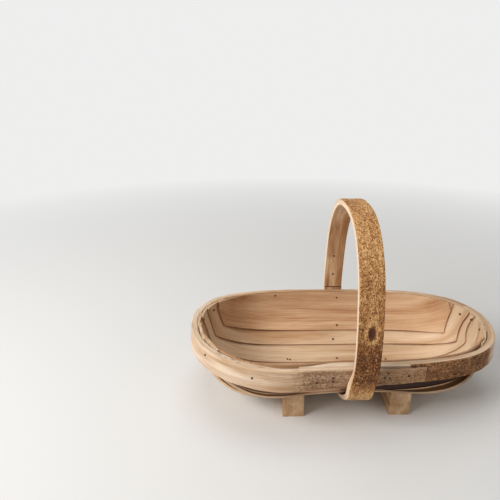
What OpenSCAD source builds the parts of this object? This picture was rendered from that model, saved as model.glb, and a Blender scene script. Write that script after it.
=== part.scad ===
// Garden trug: a shallow boat-shaped basket of lapped thin boards, a bent rim,
// a hoop handle that runs under the basket, and two cross feet.
// Frame: X along the basket, Y across it, Z up. The origin lies on the ground
// under the middle of the hoop. All sizes are millimetres.

/* [Basket] */
// Length over the rim
basket_length = 400; // [320:5:520]
// Width over the rim, the near side presses in by the rim lap
basket_width = 214; // [170:2:280]
// Height of the rim top above the ground, halfway along
rim_top = 91.5; // [80:0.5:120]
// Depth from the rim top to the underside of the boards
bowl_depth = 78.7; // [66:0.1:84]
// How far the rim climbs at both ends
end_rise = 9.7; // [0:0.1:20]

/* [Rim] */
// Thickness of the rim strip
rim_thick = 8.3; // [6:0.1:11]
// Height of the rim strip
rim_height = 26.2; // [20:0.1:34]

/* [Boards] */
// Thickness of one board
board_thick = 2.5; // [1.8:0.1:3.2]

/* [Hoop] */
// Top of the hoop above the ground
hoop_top = 260.9; // [220:0.1:330]
// Width of the hoop strip
hoop_width = 28.2; // [20:0.1:36]
// Thickness of the hoop strip
hoop_thick = 8.1; // [6:0.1:10]
// Distance of the hoop from the middle of the basket
hoop_offset = 9.2; // [-20:0.1:20]

/* [Feet] */
// Distance between the middles of the two feet
foot_spacing = 135.6; // [100:0.2:200]
// Width of one foot along the basket
foot_width = 26.4; // [18:0.2:36]
// Length of one foot across the basket
foot_length = 144; // [110:1:160]

/* [Tacks] */
// Diameter of a tack head
tack_head = 3.2; // [2.4:0.1:4.5]
// Diameter of a tack shank
tack_shank = 1.3; // [1:0.1:1.8]

/* [Hidden] */
$fn = 24;

// The basket sits a little toward the near side of the hoop
basket_y = -2.7;
half_len = basket_length / 2;
half_wid = basket_width / 2;
// Powers of the rim outline along X and along Y
plan_x = 3.5;
plan_y = 2.055;
// The lower hull grows squarer in plan, its section is rounder
plan_x_gain = 1.53;
section_z = 3.18;
rise_power = 3.52;
// The right end of the rim hangs lower than the left
end_tilt = 1.4;
rim_flare = 1.9;
rim_chamfer = 1.2;
// Air between neighbouring strips and boards
gap = 0.15;

// The rim strip laps itself on the near side: the tail from the left lies outside
lap_step = 5.5;
lap_step_from = -0.475 * half_len;
lap_step_to = -0.1 * half_len;
outer_tail_end = 0.42 * half_len;
outer_tail_from = 0.03 * half_len;
outer_tail_thick = 2.2;
outer_tail_top_cut = 4;
outer_tail_bottom_cut = 3;
inner_tail_end = -0.33 * half_len;
inner_tail_full = -0.07 * half_len;
inner_tail_thick = 1.2;
near_press_start = -0.6 * half_len;
near_press_full = -0.025 * half_len;
near_press_from = 0.5 * half_len;
near_press_to = 1.125 * half_len;
// Part of the half width over which the press builds up from the middle
near_press_reach = 0.87;
// The lower boards are pressed in less than the rim
low_press_loss = 0.4;
// Lean of the near rim: its bottom edge stands out on the left, is even on the right,
// and is drawn in where the hoop passes
lean_left = 3.2;
lean_right = 0.5;
lean_drawn = 3;
lean_drawn_width = 0.13 * half_len;
lean_at_strap = -1.6;
rim_rings = 96;

// Board edges as angles round the hull: lift of the edge at mid length, then for the
// left and the right: turn and lift of the corner, turn of the end on the rim
side_edge = [38.2, 49.4, 29.5, 57.3, 53.4, 48.6, 63.0];
middle_edge = [56.9, 58.6, 48.2, 71.4, 62.0, 68.0, 80.0];
centre_edge = [79.7, 62.8, 69.2, 85.9, 70.0, 84.0, 87.0];
// How far the hidden edge of the next board runs under each of these edges
side_lap = 0.22;
middle_lap = 0.16;
centre_lap = 0.12;
corner_at = 0.72;
edge_spread = 2.2;
edge_bend = 1.4;
// Hidden board edges stand off the hull toward the corners
far_edge_lift = 5.5;
near_left_edge_lift = 4;
near_right_edge_lift = 7;
// The side boards are cut off just before their two edges meet on the rim
side_reach = 0.97;
board_cols = 33;
board_rows = 6;

// Hoop arch
arch_power = 2.36;
arch_centre = rim_top + 16;
arch_steps = 44;
hoop_half = half_wid + basket_y + hoop_thick;
// The bow and the strap meet in sloping cuts above the rim top
near_scarf_inner = rim_top + 1.17 * hoop_thick;
near_scarf_outer = rim_top + 0.46 * hoop_thick;
far_scarf_inner = rim_top + 0.59 * hoop_thick;
far_scarf_outer = rim_top + 0.25 * hoop_thick;
strap_steps = 14;
// The strap is shaved thinner and leans to the left below the rim
strap_thin = 0.8 * hoop_thick;
strap_skew = 2.5;
// Lift on the hull where the strap leaves the boards
strap_leave = 50;
// Bend of the strap below the rim: slant at once, then how far each end runs straight
strap_slant = 1.5;
strap_run_down = 0.19 * bowl_depth;
strap_run_under = 0.22 * bowl_depth;

foot_x = foot_spacing / 2;
foot_steps = 14;
// Lift on the hull down to which the hollow of a foot is laid out
foot_lift = 35;

tack_head_thick = 0.9;

wood_pale = [0.86, 0.74, 0.55];
wood_tan = [0.76, 0.60, 0.40];
wood_bark = [0.50, 0.36, 0.24];
steel = [0.62, 0.62, 0.64];

function clamp01(v) = max(0, min(1, v));
function ease(v, from, to) =
    let (u = clamp01((v - from) / (to - from))) u * u * (3 - 2 * u);
function signed_pow(v, e) = sign(v) * pow(abs(v), e);
function mix(a, b, w) = a * (1 - w) + b * w;
function unit(v) = v / norm(v);

// Height of the rim top at a distance x along the basket
function rim_z(x) =
    rim_top + end_rise * pow(min(1, abs(x) / half_len), rise_power) - end_tilt * x / half_len;

// How far the near wall of the boards is pressed in at x
function near_press(x) = (lap_step + rim_thick + gap) * (x < 0
    ? ease(x, near_press_start, near_press_full)
    : 1 - ease(x, near_press_from, near_press_to));

// How far the bottom edge of the near rim stands out at x
function near_lean(x) =
    mix(rim_flare,
        mix(lean_left, lean_right, ease(x, -0.45 * half_len, -0.15 * half_len)),
        ease(half_len - abs(x), 0, 0.3 * half_len))
    - lean_drawn * exp(-pow((x - hoop_offset) / lean_drawn_width, 2));
function strip_lean(t, x) = t > 180 || t < 0 ? near_lean(x) : rim_flare;

// Outside face of the rim strip: turn t runs from the outer tail round to the inner tail
function strip_thick(t, x) =
    t > 180 ? mix(rim_thick, outer_tail_thick, ease(x, outer_tail_from, outer_tail_end))
    : t < 0 ? mix(inner_tail_thick, rim_thick, ease(x, inner_tail_end, inner_tail_full))
    : rim_thick;
function strip_inset(t, x) =
    t > 180 ? lap_step * ease(x, lap_step_from, lap_step_to) + rim_thick - strip_thick(t, x)
    : t < 0 ? (x < 0
        ? rim_thick + gap + lap_step * ease(x, lap_step_from, lap_step_to)
        : near_press(x))
    : 0;

// A point of the rim: turn t, offset o outward from the face, height h below the top
function rim_point(t, o, h) =
    let (x = (half_len + o) * signed_pow(cos(t), 2 / plan_x),
        y = (half_wid + o - strip_inset(t, x)) * signed_pow(sin(t), 2 / plan_y))
    [x, y + basket_y, rim_z(x) - h];

// Section of the rim strip at turn t, eight corners from the outside top
function rim_ring(t) =
    let (x = half_len * signed_pow(cos(t), 2 / plan_x),
        thick = strip_thick(t, x),
        tail = t > 270 ? ease(x, hoop_offset + hoop_width / 4, hoop_offset + hoop_width) : 0,
        top = outer_tail_top_cut * tail,
        low = rim_height - outer_tail_bottom_cut * tail,
        lean = strip_lean(t, x),
        c = min(rim_chamfer, thick / 3))
    [
        rim_point(t, 0, top + c),
        rim_point(t, lean, low - c),
        rim_point(t, lean - c, low),
        rim_point(t, lean + c - thick, low),
        rim_point(t, lean - thick, low - c),
        rim_point(t, -thick, top + c),
        rim_point(t, -thick + c, top),
        rim_point(t, -c, top)
    ];

// Turn at which the near rim reaches a distance x along the basket
function near_turn(x) = acos(signed_pow(x / half_len, plan_x / 2));

// The hull of boards: direction c on a unit ball, offset o outward from the outside face
function hull_point(c, o) =
    let (n = plan_x + plan_x_gain * c[2] * c[2],
        x = (half_len - rim_thick - gap + o) * signed_pow(c[0], 2 / n),
        y = (half_wid - rim_thick - gap + o) * signed_pow(c[1], 2 / plan_y),
        z = (bowl_depth + o) * signed_pow(c[2], 2 / section_z),
        press = y < 0
            ? near_press(x) * min(1, abs(y) / half_wid / near_press_reach)
                    * (1 - low_press_loss * c[2])
                + max(0, -near_lean(x)) * ease(z, 0, rim_height) * (1 - c[2])
            : 0)
    [x, y + press + basket_y, mix(rim_z(x), rim_top, min(1, c[2])) - z];

function ball(turn, lift) = [sin(turn), cos(turn) * cos(lift), cos(turn) * sin(lift)];

// A board edge: e is the list of angles, s runs from -1 at the left end to 1 at the right
function edge_dir(e, s) =
    let (i = s < 0 ? 1 : 4,
        a = abs(s),
        u = min(1, a / corner_at),
        w = clamp01((a - corner_at) / (1 - corner_at)),
        turn1 = asin(sin(e[i]) * pow(u, edge_spread)),
        lift1 = e[0] + (e[i + 1] - e[0]) * pow(turn1 / e[i], 2),
        turn = a <= corner_at ? turn1 : mix(e[i], e[i + 2], pow(w, edge_bend)),
        lift = a <= corner_at ? lift1 : e[i + 1] * (1 - w),
        c = ball(turn, lift))
    [c[0] * (s < 0 ? -1 : 1), c[1], c[2]];
// Turn on the ball that belongs to a distance x along the basket
function turn_at(x, lift) =
    asin(pow(abs(x) / (half_len - rim_thick), (plan_x + plan_x_gain * pow(sin(lift), 2)) / 2));
function hidden_dir(e, lap, s) = unit(edge_dir(e, s) + [0, lap, 0]);
function rim_dir(e, s) =
    let (end = (s < 0 ? e[3] : e[6]) + 2,
        turn = asin(sin(end) * pow(abs(s), plan_x / 2)))
    [sin(turn) * (s < 0 ? -1 : 1), cos(turn), 0];
function flip(c) = [c[0], -c[1], c[2]];

// Stand-off of a hidden edge, none near the hoop and none under the rim
function edge_stand(s, near) =
    (!near ? far_edge_lift : s < 0 ? near_left_edge_lift : near_right_edge_lift)
    * pow(sin(180 * clamp01((abs(s) - 0.2) / 0.7)), 1.5);

// Near the ends the side boards stay inside the middle boards up to the rim top
function end_deep(s) = ease(abs(s), corner_at, 0.9);

// Closed skin round a row of rings
module skin(rings) {
    n = len(rings[0]);
    m = len(rings);
    points = [for (r = rings) for (p = r) p];
    sides = [for (i = [0:m - 2]) for (j = [0:n - 1])
        let (a = i * n + j, b = i * n + (j + 1) % n)
        each [[a, a + n, b], [b, a + n, b + n]]];
    first = [for (j = [0:n - 1]) j];
    last = [for (j = [n - 1:-1:0]) (m - 1) * n + j];
    polyhedron(points = points, faces = concat(sides, [first], [last]), convexity = 8);
}

// One thin board between its lower edge and its upper edge, given as rings along s
function board_ring(s, low, high, low_deep, high_deep, stand) =
    let (inner_layer = board_thick + gap,
        depth = function (w) inner_layer
            * (low_deep * (1 - ease(w, 0.3, 0.75)) + high_deep * ease(w, 0.3, 0.75)),
        lift = function (w) stand * pow(w, 3),
        outer = [for (k = [0:board_rows])
            let (w = k / board_rows)
            hull_point(unit(mix(low, high, w)), lift(w) - depth(w))],
        inner = [for (k = [board_rows:-1:0])
            let (w = k / board_rows)
            hull_point(unit(mix(low, high, w)), lift(w) - depth(w) - board_thick)])
    concat(outer, inner);

// Place along the board of column i
function col_s(i) = -1 + 2 * i / (board_cols - 1);

module lapped_board(low_edge, high_edge, lap, near) {
    rings = [for (i = [0:board_cols - 1])
        let (s = col_s(i),
            low = edge_dir(low_edge, s),
            high = hidden_dir(high_edge, lap, s))
        near
            ? board_ring(s, flip(low), flip(high), 1, 0, edge_stand(s, near))
            : board_ring(s, low, high, 1, 0, edge_stand(s, near))];
    skin(near ? [for (i = [board_cols - 1:-1:0]) rings[i]] : rings);
}

module side_board(near) {
    rings = [for (i = [0:board_cols - 1])
        let (s = side_reach * col_s(i),
            low = edge_dir(side_edge, s),
            high = rim_dir(side_edge, s))
        near
            ? board_ring(s, flip(low), flip(high), 1, end_deep(s), 0)
            : board_ring(s, low, high, 1, end_deep(s), 0)];
    skin(near ? [for (i = [board_cols - 1:-1:0]) rings[i]] : rings);
}

module rim() {
    start = 360 - near_turn(outer_tail_end);
    stop = -near_turn(inner_tail_end);
    color(wood_tan)
        skin([for (i = [0:rim_rings]) rim_ring(mix(start, stop, i / rim_rings))]);
}

module centre_board() {
    color(wood_pale)
        skin([for (i = [0:board_cols - 1])
            let (s = col_s(i), far = hidden_dir(centre_edge, centre_lap, s))
            board_ring(s, flip(far), far, 0, 0, 0)]);
}

module far_inner_board() {
    color(wood_pale) lapped_board(centre_edge, middle_edge, middle_lap, false);
}

module near_inner_board() {
    color(wood_pale) lapped_board(centre_edge, middle_edge, middle_lap, true);
}

module far_middle_board() {
    color(wood_pale) lapped_board(middle_edge, side_edge, side_lap, false);
}

module near_middle_board() {
    color(wood_pale) lapped_board(middle_edge, side_edge, side_lap, true);
}

module far_side_board() {
    color(wood_pale) side_board(false);
}

module near_side_board() {
    color(wood_pale) side_board(true);
}

// Point of the arch at turn t, grown inward by d
function arch_point(t, d) =
    let (squash = pow(1 - pow(abs(arch_centre - rim_top) / (hoop_top - arch_centre), arch_power),
            1 / arch_power))
    [(hoop_half / squash - d) * signed_pow(cos(t), 2 / arch_power),
        arch_centre + (hoop_top - arch_centre - d) * signed_pow(sin(t), 2 / arch_power)];

// Lays a Y-Z outline along X over the width w about the distance x
module across(x, w) {
    translate([x - w / 2, 0, 0])
        rotate([90, 0, 90])
            linear_extrude(height = w)
                children();
}

module bow() {
    outer = [for (i = [0:arch_steps]) arch_point(180 * i / arch_steps, 0)];
    inner = [for (i = [arch_steps:-1:0]) arch_point(180 * i / arch_steps, hoop_thick)];
    color(wood_bark)
        across(hoop_offset, hoop_width)
            polygon(concat(
                [[hoop_half, far_scarf_outer + gap]], outer,
                [[-hoop_half, near_scarf_outer + gap],
                    [hoop_thick - hoop_half, near_scarf_inner + gap]],
                inner,
                [[hoop_half - hoop_thick, far_scarf_inner + gap]]));
}

// Curve with four control points
function curve4(p, w) =
    p[0] * pow(1 - w, 3) + 3 * p[1] * pow(1 - w, 2) * w
        + 3 * p[2] * (1 - w) * w * w + p[3] * pow(w, 3);

// Y-Z place on the outside of the hull under the hoop, side is 1 far and -1 near
function under_hoop(lift, side) =
    let (x = hoop_offset,
        c = ball(turn_at(x, lift), lift),
        p = hull_point([c[0], side * c[1], c[2]], gap))
    [p[1], p[2]];

// Inner face of the strap on one side, from the scarf down to the middle of the bottom
function strap_path(side) =
    let (leave = under_hoop(strap_leave, side),
        dir = unit(under_hoop(strap_leave - 2, side) - leave),
        y0 = side * (hoop_half - hoop_thick),
        knee = [y0 + side * ((side > 0 ? rim_flare : lean_at_strap) + gap), rim_top - rim_height])
    concat(
        [[y0, rim_top]],
        [for (k = [0:strap_steps])
            curve4([knee, knee - [strap_slant * side, strap_run_down],
                    leave + dir * strap_run_under, leave], k / strap_steps)],
        [for (k = [1:strap_steps])
            under_hoop(mix(strap_leave, 90, k / strap_steps), side)]);

// The same line moved outward by the strap thickness, which is full only on the rim
function outward(path, side) = [for (i = [0:len(path) - 1])
    let (a = path[max(0, i - 1)],
        b = path[min(len(path) - 1, i + 1)],
        d = unit(b - a),
        bent = i == len(path) - 1 ? [-side, 0] : i == 0 ? [0, -1] : d)
    path[i] + (i == 0 ? hoop_thick : strap_thin) * side * [-bent[1], bent[0]]];

// The strap seen from the front
module strap_front() {
    left = hoop_offset - hoop_width / 2;
    low = rim_top - rim_height;
    polygon([
        [left, rim_top + rim_height], [left, rim_top], [left - strap_skew, low],
        [left - strap_skew, -1], [left - strap_skew + hoop_width, -1],
        [left - strap_skew + hoop_width, low], [left + hoop_width, rim_top],
        [left + hoop_width, rim_top + rim_height]]);
}

module strap() {
    far = strap_path(1);
    near = strap_path(-1);
    far_out = outward(far, 1);
    near_out = outward(near, -1);
    n = len(far);
    color(wood_tan)
        intersection() {
            across(hoop_offset, 2 * hoop_width)
                polygon(concat(
                    [[hoop_half - hoop_thick, far_scarf_inner]],
                    far,
                    [for (i = [n - 2:-1:0]) near[i]],
                    [[hoop_thick - hoop_half, near_scarf_inner], [-hoop_half, near_scarf_outer]],
                    near_out,
                    [for (i = [n - 2:-1:0]) far_out[i]],
                    [[hoop_half, far_scarf_outer]]));
            rotate([90, 0, 0])
                linear_extrude(height = 2 * basket_width, center = true)
                    strap_front();
        }
}

// Hull underside at the distance x, as a Y-Z place
function under_foot(x, lift, side) =
    let (c = ball(turn_at(x, lift), lift),
        p = hull_point([sign(x) * c[0], side * c[1], c[2]], gap))
    [p[1], p[2]];

// A foot is a block whose top is hollowed to the round of the boards
module foot(x) {
    top = concat(
        [for (k = [0:foot_steps]) under_foot(x, mix(foot_lift, 90, k / foot_steps), 1)],
        [for (k = [foot_steps - 1:-1:0])
            under_foot(x, mix(foot_lift, 90, k / foot_steps), -1)]);
    color(wood_pale)
        across(x, foot_width)
            intersection() {
                polygon(concat([[top[0][0], 0]], top, [[top[len(top) - 1][0], 0]]));
                translate([basket_y, rim_top / 2])
                    square([foot_length, rim_top], center = true);
            }
}

module left_foot() {
    foot(-foot_x);
}

module right_foot() {
    foot(foot_x);
}

// A tack at p, its head outside and its shank pointing along d into the wood
module tack(p, d, long) {
    u = unit(d);
    translate(p)
        rotate([0, acos(u[2]), atan2(u[1], u[0])]) {
            translate([0, 0, -tack_head_thick / 2])
                cylinder(d = tack_head, h = tack_head_thick);
            cylinder(d = tack_shank, h = long);
        }
}

// A tack driven from inside through the boards, x along the basket, lift up the wall
module board_tack(x, lift, side, long) {
    c = ball(turn_at(x, lift), lift);
    dir = [sign(x) * c[0], side * c[1], c[2]];
    p = hull_point(dir, -2 * board_thick - gap);
    q = hull_point(dir, 1);
    tack(p, q - p, long);
}

// A tack driven from inside through the side board into the rim
module side_tack(x, drop, side) {
    c = ball(turn_at(x, 0), 0);
    p = hull_point([sign(x) * c[0], side * c[1], 0], -board_thick);
    tack(p - [0, 0, drop], [0, side, 0], board_thick + 0.7 * rim_thick);
}

module far_side_tacks() {
    color(steel) {
        side_tack(-0.755 * half_len, 0.2 * rim_height, 1);
        side_tack(-0.422 * half_len, 0.18 * rim_height, 1);
        side_tack(hoop_offset + 0.19 * hoop_width, 0.37 * rim_height, 1);
        side_tack(0.822 * half_len, 0.38 * rim_height, 1);
    }
}

module near_side_tacks() {
    color(steel) {
        side_tack(-0.75 * half_len, 0.3 * rim_height, -1);
        side_tack(hoop_offset + 0.19 * hoop_width, 0.38 * rim_height, -1);
        side_tack(0.6 * half_len, 0.34 * rim_height, -1);
    }
}

// A tack driven from outside into the near rim, tail is true on the outer tail
module lap_tack(x, drop, tail) {
    t = tail ? 360 - near_turn(x) : -near_turn(x);
    p = rim_point(t, near_lean(x) * drop / rim_height, drop);
    tack(p, [0, 1, 0], 1.6 * rim_thick);
}

module rim_lap_tacks() {
    // Parts of half the length along the rim, and of its height below its top
    tail_places = [[-0.875, 0.31], [-0.593, 0.48], [-0.228, 0.58], [-0.135, 0.39], [-0.135, 0.56],
        [0.186, 0.26], [0.167, 0.47], [0.198, 0.52], [0.315, 0.5]];
    inner_places = [[0.72, 0.45], [0.763, 0.54]];
    color(steel) {
        for (p = tail_places)
            lap_tack(p[0] * half_len, p[1] * rim_height, true);
        for (p = inner_places)
            lap_tack(p[0] * half_len, p[1] * rim_height, false);
    }
}

// A tack through the boards into an end of the rim, as a direction on the hull
module end_tack(turn, lift, side) {
    c = ball(abs(turn), lift);
    dir = [sign(turn) * c[0], side * c[1], c[2]];
    p = hull_point(dir, -2 * board_thick - gap);
    tack(p, [sign(turn), 2 * side * c[1], 0], 2 * board_thick + 0.7 * rim_thick);
}

module left_end_tacks() {
    color(steel) {
        end_tack(-62.9, 3.6, 1);
        end_tack(-82.5, 8.6, 1);
        end_tack(-82.5, 8.6, -1);
        end_tack(-64, 4, -1);
    }
}

module right_end_tacks() {
    color(steel) {
        end_tack(71.3, 7.2, 1);
        end_tack(84.5, 14, 1);
        end_tack(80, 8, -1);
        end_tack(66, 5, -1);
    }
}

module far_leg_tacks() {
    high = arch_point(13.5, hoop_thick);
    low = arch_point(2.6, hoop_thick);
    color(steel) {
        tack([hoop_offset - 0.05 * hoop_width, high[0], high[1]], [0, 1, 0], 0.7 * hoop_thick);
        tack([hoop_offset - 0.04 * hoop_width, low[0], low[1]], [0, 1, 0], 0.7 * hoop_thick);
        tack([hoop_offset + 0.18 * hoop_width, hoop_half, rim_top - 0.15 * rim_height],
            [0, -1, 0], hoop_thick + 0.6 * rim_thick);
        tack([hoop_offset - 0.21 * hoop_width,
            hoop_half + 0.53 * (rim_flare + strap_thin - hoop_thick),
            rim_top - 0.53 * rim_height], [0, -1, 0], hoop_thick + 0.6 * rim_thick);
    }
}

// Tacks in the near leg, as parts of the hoop width and of the rim height
module near_leg_tacks() {
    bow_places = [[-0.18, 0.84], [0.06, 0.78], [0.37, 0.77]];
    strap_places = [[-0.22, -0.08], [0.17, -0.02], [-0.3, -0.36], [0.06, -0.34]];
    color(steel) {
        for (p = bow_places)
            tack([hoop_offset + p[0] * hoop_width, -hoop_half, rim_top + p[1] * rim_height],
                [0, 1, 0], 0.75 * hoop_thick);
        for (p = strap_places)
            tack([hoop_offset + p[0] * hoop_width,
                -hoop_half + p[1] * (lean_at_strap + strap_thin - hoop_thick),
                rim_top + p[1] * rim_height], [0, 1, 0], hoop_thick + 0.6 * rim_thick);
    }
}

module strap_tacks() {
    through = 2 * board_thick + 0.25 * hoop_thick;
    into = 2 * board_thick + 0.4 * hoop_thick;
    color(steel) {
        board_tack(hoop_offset + 0.19 * hoop_width, 32.2, 1, through);
        board_tack(hoop_offset - 0.13 * hoop_width, 50.7, 1, through);
        board_tack(hoop_offset - 0.13 * hoop_width, 75.7, 1, into);
        board_tack(hoop_offset - 0.04 * hoop_width, 75.7, -1, into);
        board_tack(hoop_offset + 0.1 * hoop_width, 51, -1, through);
        board_tack(hoop_offset + 0.17 * hoop_width, 33, -1, through);
    }
}

// A tack down through the boards into a foot, a part of the foot width from its middle
module foot_tack(x, part, lift, side) {
    board_tack(x + part * foot_width, lift, side, 3.2 * board_thick + 0.15 * foot_width);
}

module left_foot_tacks() {
    color(steel) {
        foot_tack(-foot_x, 0.08, 76.9, 1);
        foot_tack(-foot_x, -0.09, 76.2, 1);
        foot_tack(-foot_x, 0.04, 77, -1);
        foot_tack(-foot_x, -0.04, 52, -1);
    }
}

module right_foot_tacks() {
    color(steel) {
        foot_tack(foot_x, 0.42, 78.1, 1);
        foot_tack(foot_x, -0.08, 77, -1);
        foot_tack(foot_x, 0.08, 52, -1);
    }
}

rim();
bow();
strap();
centre_board();
far_inner_board();
near_inner_board();
far_middle_board();
near_middle_board();
far_side_board();
near_side_board();
left_foot();
right_foot();
far_side_tacks();
near_side_tacks();
rim_lap_tacks();
left_end_tacks();
right_end_tacks();
far_leg_tacks();
near_leg_tacks();
strap_tacks();
left_foot_tacks();
right_foot_tacks();
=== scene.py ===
"""Looks for the garden trug: wood pieces with real grain over the CAD frame."""
import math

import bpy
import numpy as np
from mathutils import Matrix, Vector


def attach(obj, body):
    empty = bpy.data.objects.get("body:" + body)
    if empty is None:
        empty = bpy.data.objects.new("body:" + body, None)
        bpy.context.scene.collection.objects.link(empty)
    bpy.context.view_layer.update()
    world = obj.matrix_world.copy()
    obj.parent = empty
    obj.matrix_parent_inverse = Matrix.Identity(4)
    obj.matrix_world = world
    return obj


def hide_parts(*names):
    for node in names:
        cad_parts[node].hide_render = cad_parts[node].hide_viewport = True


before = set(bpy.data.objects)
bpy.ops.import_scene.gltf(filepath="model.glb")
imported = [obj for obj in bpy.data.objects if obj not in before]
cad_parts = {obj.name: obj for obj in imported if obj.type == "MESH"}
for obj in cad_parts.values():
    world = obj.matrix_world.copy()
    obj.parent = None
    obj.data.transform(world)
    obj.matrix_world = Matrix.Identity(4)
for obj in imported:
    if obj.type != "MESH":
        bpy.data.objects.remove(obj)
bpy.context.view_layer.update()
MM = 0.001
scene = bpy.context.scene
dice = np.random.default_rng(11)

# Sizes, in millimetres

# Every builder below works in millimetres. make_object turns them into metres.
# X runs along the basket, -Y is the near side, and the table is at Z = 0.
HALF_LEN, HALF_WID = 200.0, 107.0
BASKET_Y = -2.7                         # middle of the basket, across
RIM_TOP, DEPTH = 91.5, 78.7             # height of the rim in the middle, bowl below it
END_RISE, TILT = 9.7, 1.4               # the rim climbs to its ends, more to the left
RIM_T, RIM_H, FLARE = 8.3, 26.2, 1.9    # strip of the rim, and how far its foot stands out
LAP_STEP = 5.5                          # the rim's outer strip steps out over the inner one
BOARD_T, GAP = 2.5, 0.15
HOOP_TOP, HOOP_W, HOOP_T, HOOP_X = 260.9, 28.2, 8.1, 9.2
HOOP_HALF = HALF_WID + BASKET_Y + HOOP_T
STRAP_T, STRAP_SKEW, STRAP_SLANT = 0.8 * HOOP_T, 2.5, 2.8
FAR_SCARF, NEAR_SCARF = (2.15, 4.95), (3.85, 9.65)  # outer and inner end, above the rim
FOOT_X, FOOT_W, FOOT_L = 67.8, 26.4, 144.0

# powers of the superellipses: plan of the rim, section of the bowl, arch of the hoop
PLAN_X, PLAN_Y, PLAN_GAIN, SECTION, RISE_POW = 3.5, 2.055, 1.53, 3.18, 3.52
ARCH_POW, ARCH_Z = 2.36, RIM_TOP + 16.0

# Lower edges of the boards, in degrees: lift in the middle, then turn and lift at the
# corner and turn at the end, for the left and again for the right.
SIDE_EDGE = (38.2, 49.4, 29.5, 57.3, 53.7, 46.0, 63.0)
MIDDLE_EDGE = (56.9, 58.6, 48.2, 71.4, 62.0, 68.0, 80.0)
CENTRE_EDGE = (79.7, 62.8, 69.2, 85.9, 70.0, 84.0, 87.0)
# how far the next lower board reaches up behind each edge
SIDE_LAP, MIDDLE_LAP, CENTRE_LAP = 0.22, 0.16, 0.12
# from the middle of an edge, 0, to its end, 1: where its corner lies, how its turn grows up
# to there and after it, and how far the side boards reach
CORNER, SPREAD, BEND, SIDE_REACH = 0.72, 2.2, 0.85, 0.97
# how far the upper edges of the inner and middle boards stand off
FAR_LIFT, NEAR_LEFT_LIFT, NEAR_RIGHT_LIFT = 5.5, 4.0, 7.0

# sides of a strip or a board, as the builders number them
OUTER, TOP, INNER, BOTTOM, ROUND = range(5)


# Small maths


def ease(v, a, b):
    u = np.clip((np.asarray(v, float) - a) / (b - a), 0.0, 1.0)
    return u * u * (3 - 2 * u)


def mix(a, b, w):
    return a * (1 - w) + b * w


def signed_power(v, e):
    return np.sign(v) * np.abs(v) ** e


def unit(v):
    return v / np.linalg.norm(v, axis=-1, keepdims=True)


def spread(along, across=0.0, depth=0.0):
    """Points (N, 3), with each coordinate given for every point or once for all."""
    return np.stack(np.broadcast_arrays(along, across, depth), -1)


def run_along(line):
    """Length along a line of points, up to each of them."""
    return np.concatenate([[0], np.cumsum(np.linalg.norm(np.diff(line, axis=0), axis=1))])


def noise(p, seed):
    """Smooth value noise from -1 to 1 at the points p (N, 3)."""
    cell = np.floor(p).astype(np.int64)
    f = p - cell
    f = f * f * (3 - 2 * f)
    total = np.zeros(p.shape[:-1])
    for dx in (0, 1):
        for dy in (0, 1):
            for dz in (0, 1):
                h = ((cell[..., 0] + dx) * 374761393 + (cell[..., 1] + dy) * 668265263
                     + (cell[..., 2] + dz) * 1440662683 + seed * 1274126177) & 0xFFFFFFFF
                h = ((h ^ (h >> 13)) * 1274126177) & 0xFFFFFFFF
                value = ((h ^ (h >> 16)) & 0xFFFF) / 32767.5 - 1.0
                w = ((f[..., 0] if dx else 1 - f[..., 0])
                     * (f[..., 1] if dy else 1 - f[..., 1])
                     * (f[..., 2] if dz else 1 - f[..., 2]))
                total += w * value
    return total


def fibre(along, across, depth, seed, length=40.0, width=1.6):
    """Wood fibre relief: long along the grain and narrow across it."""
    coarse = spread(along / length, across / width, depth / width)
    length, width = length * 0.35, width * 0.45
    fine = spread(along / length, across / width, depth / width)
    return 0.65 * noise(coarse, seed) + 0.35 * noise(fine, seed + 5)


# Shape of the trug


def rim_z(x):
    """Height of the rim's top edge at x."""
    rise = END_RISE * np.minimum(1, np.abs(x) / HALF_LEN) ** RISE_POW
    return RIM_TOP + rise - TILT * x / HALF_LEN


def near_press(x):
    """How far the near side is pressed in at x, behind the rim's outer strip."""
    full = LAP_STEP + RIM_T + GAP
    return full * np.where(x < 0, ease(x, -120, -5), 1 - ease(x, 100, 225))


def near_lean(x):
    """How far the bottom edge of the near rim stands out at x."""
    side = mix(3.2, 0.5, ease(x, -0.45 * HALF_LEN, -0.15 * HALF_LEN))
    lean = mix(FLARE, side, ease(HALF_LEN - np.abs(x), 0, 0.3 * HALF_LEN))
    return lean - 3.0 * np.exp(-((x - HOOP_X) / (0.13 * HALF_LEN)) ** 2)


def hull_point(c, o):
    """Point of the board hull for ball direction c and outward offset o."""
    n = PLAN_X + PLAN_GAIN * c[..., 2] ** 2
    x = (HALF_LEN - RIM_T - GAP + o) * signed_power(c[..., 0], 2 / n)
    y = (HALF_WID - RIM_T - GAP + o) * signed_power(c[..., 1], 2 / PLAN_Y)
    z = (DEPTH + o) * signed_power(c[..., 2], 2 / SECTION)
    press = near_press(x) * np.minimum(1, np.abs(y) / HALF_WID * 1.15) * (1 - 0.4 * c[..., 2])
    press = press + np.maximum(0, -near_lean(x)) * ease(z, 0, RIM_H) * (1 - c[..., 2])
    press = np.where(y < 0, press, 0)
    top = mix(rim_z(x), RIM_TOP, np.clip(c[..., 2], 0, 1))
    return np.stack([x, y + press + BASKET_Y, top - z], -1)


def ball(turn, lift):
    """Unit direction: turn from +Y to +X, lift from the rim down to the keel, in degrees."""
    t, b = np.radians(turn), np.radians(lift)
    return np.stack([np.sin(t), np.cos(t) * np.cos(b), np.cos(t) * np.sin(b)], -1)


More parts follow.
